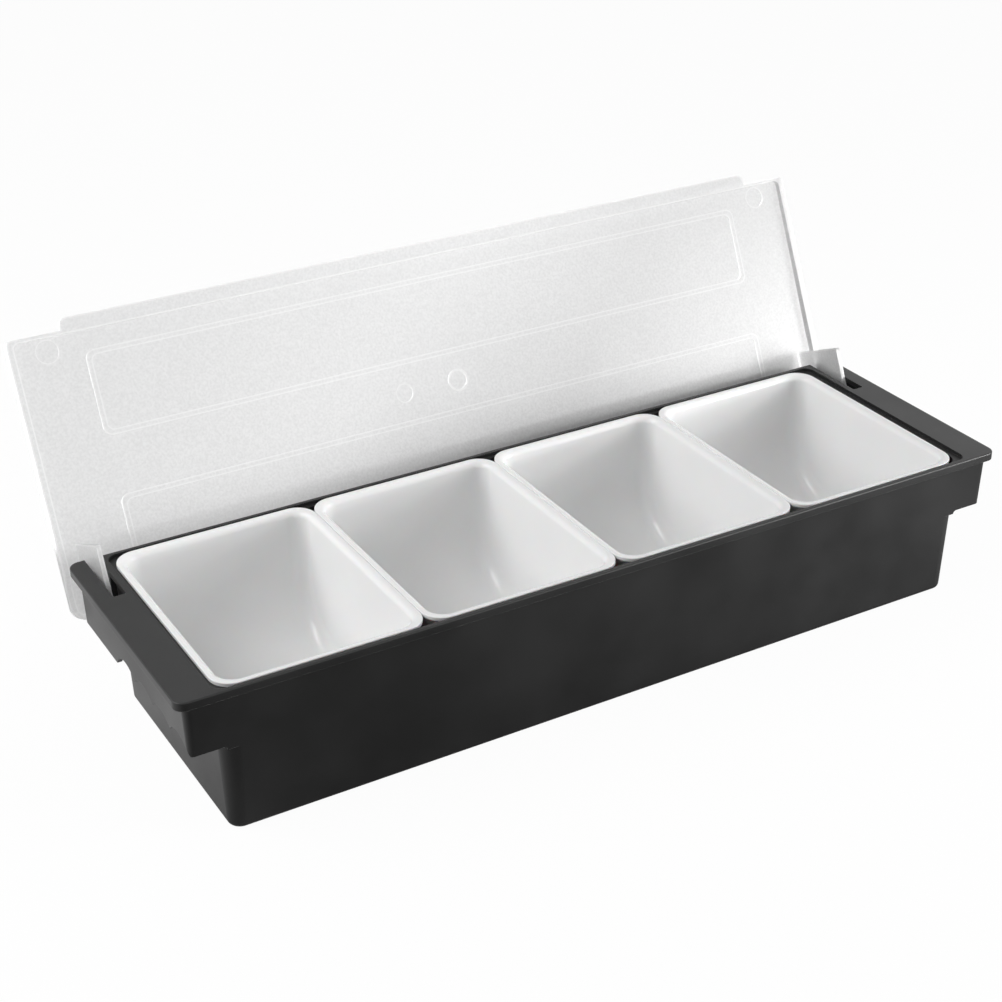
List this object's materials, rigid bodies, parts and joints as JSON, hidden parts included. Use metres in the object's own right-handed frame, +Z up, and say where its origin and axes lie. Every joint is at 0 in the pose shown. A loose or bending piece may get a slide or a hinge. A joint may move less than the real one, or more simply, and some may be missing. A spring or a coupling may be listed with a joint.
{
  "type": "bar garnish tray",
  "caption": "Long tray with end ledges that holds lift-out scoop-bottomed inserts in a row under a hinged clear lid.",
  "frame": {"origin": "centre of the tray's underside", "axes": "+X along the tray to the right, +Y to the hinge side at the back, +Z up"},
  "size_m": [0.501, 0.2166, 0.193],
  "materials": {
    "black_plastic": "satin moulded black plastic with a fine even grain",
    "white_plastic": "smooth glossy white plastic",
    "frosted_plastic": "clear plastic with a fine frosted grain"
  },
  "bodies": {
    "tray": {"tray_base": "black_plastic"},
    "lid": {"lid": "frosted_plastic"},
    "insert_1": {"insert_1": "white_plastic"},
    "insert_2": {"insert_2": "white_plastic"},
    "insert_3": {"insert_3": "white_plastic"},
    "insert_4": {"insert_4": "white_plastic"}
  },
  "joints": [
    {"name": "lid_hinge", "type": "hinge", "parent": "tray", "child": "lid", "pos_m": [0, 0.06265, 0.0697], "axis": [-1, 0, 0], "range_deg": [-115.4, 0]},
    {"name": "insert_1_lift", "type": "slide", "parent": "tray", "child": "insert_1", "axis": [0, 0, 1], "range_m": [0, 0.08]},
    {"name": "insert_2_lift", "type": "slide", "parent": "tray", "child": "insert_2", "axis": [0, 0, 1], "range_m": [0, 0.08]},
    {"name": "insert_3_lift", "type": "slide", "parent": "tray", "child": "insert_3", "axis": [0, 0, 1], "range_m": [0, 0.08]},
    {"name": "insert_4_lift", "type": "slide", "parent": "tray", "child": "insert_4", "axis": [0, 0, 1], "range_m": [0, 0.08]}
  ]
}
